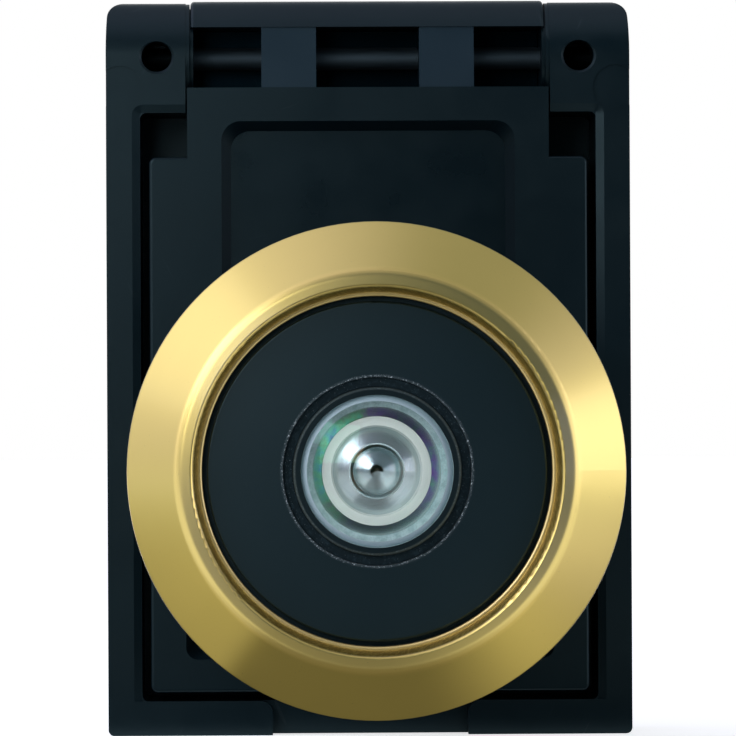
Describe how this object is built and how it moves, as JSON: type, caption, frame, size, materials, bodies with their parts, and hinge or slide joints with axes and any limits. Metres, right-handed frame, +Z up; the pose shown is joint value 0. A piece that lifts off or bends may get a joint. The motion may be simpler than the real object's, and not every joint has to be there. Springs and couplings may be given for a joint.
{
  "type": "door peephole",
  "caption": "Wide-angle door viewer with a turned brass ring outside, a screwed tube through the door and a black housing with a swing-up privacy cover inside.",
  "frame": {"origin": "on the tube's axis, in the plane of the outer face of the door", "axes": "+Y along the tube from outside into the room, +Z up, +X right seen from outside"},
  "size_m": [0.067, 0.0691, 0.0943],
  "materials": {
    "satin_brass": "satin turned brass, clear lacquer",
    "black_disc": "glossy black moulding",
    "black_cell": "satin black, turned edges",
    "soft_black": "matt black rubber",
    "yellow_brass": "plain turned brass",
    "clear_glass": "coated optical glass",
    "pale_ring": "pale satin plastic",
    "turned_alloy": "bright turned cone",
    "black_stop": "matt black",
    "white_nylon": "natural nylon",
    "black_housing": "satin black moulding",
    "dark_steel": "blackened steel rod"
  },
  "bodies": {
    "base": {"base_housing": "black_housing", "thrust_washer": "white_nylon"},
    "eyepiece": {"eyepiece_tube": "black_cell", "eyepiece_lens": "clear_glass", "eyepiece_retainer": "black_cell"},
    "front": {"brass_ring": "satin_brass", "ring_gasket": "soft_black", "front_barrel": "black_disc", "objective_cell": "black_cell", "lens_seal": "soft_black", "cell_nut": "yellow_brass", "front_lens": "clear_glass", "lens_spacer": "pale_ring", "middle_lens": "clear_glass", "cone_spacer": "turned_alloy", "aperture_stop": "black_stop", "inner_lens": "clear_glass", "cell_retainer": "yellow_brass"},
    "cover": {"privacy_cover": "black_housing", "hinge_rod": "dark_steel"}
  },
  "joints": [
    {"name": "eyepiece_turn", "type": "hinge", "parent": "base", "child": "eyepiece", "pos_m": [0, 0.048, 0], "axis": [0, 1, 0], "range_deg": [-1620, 2880]},
    {"name": "front_travel", "type": "slide", "parent": "base", "child": "front", "axis": [0, -1, 0], "range_m": [-0.009, 0.016]},
    {"name": "cover_hinge", "type": "hinge", "parent": "base", "child": "cover", "pos_m": [0, 0.0512, 0.05248], "axis": [1, 0, 0], "range_deg": [0, 150]}
  ],
  "couplings": [
    {"joint": "front_travel", "follows": "eyepiece_turn", "m_per_rad": 0.0003183}
  ]
}
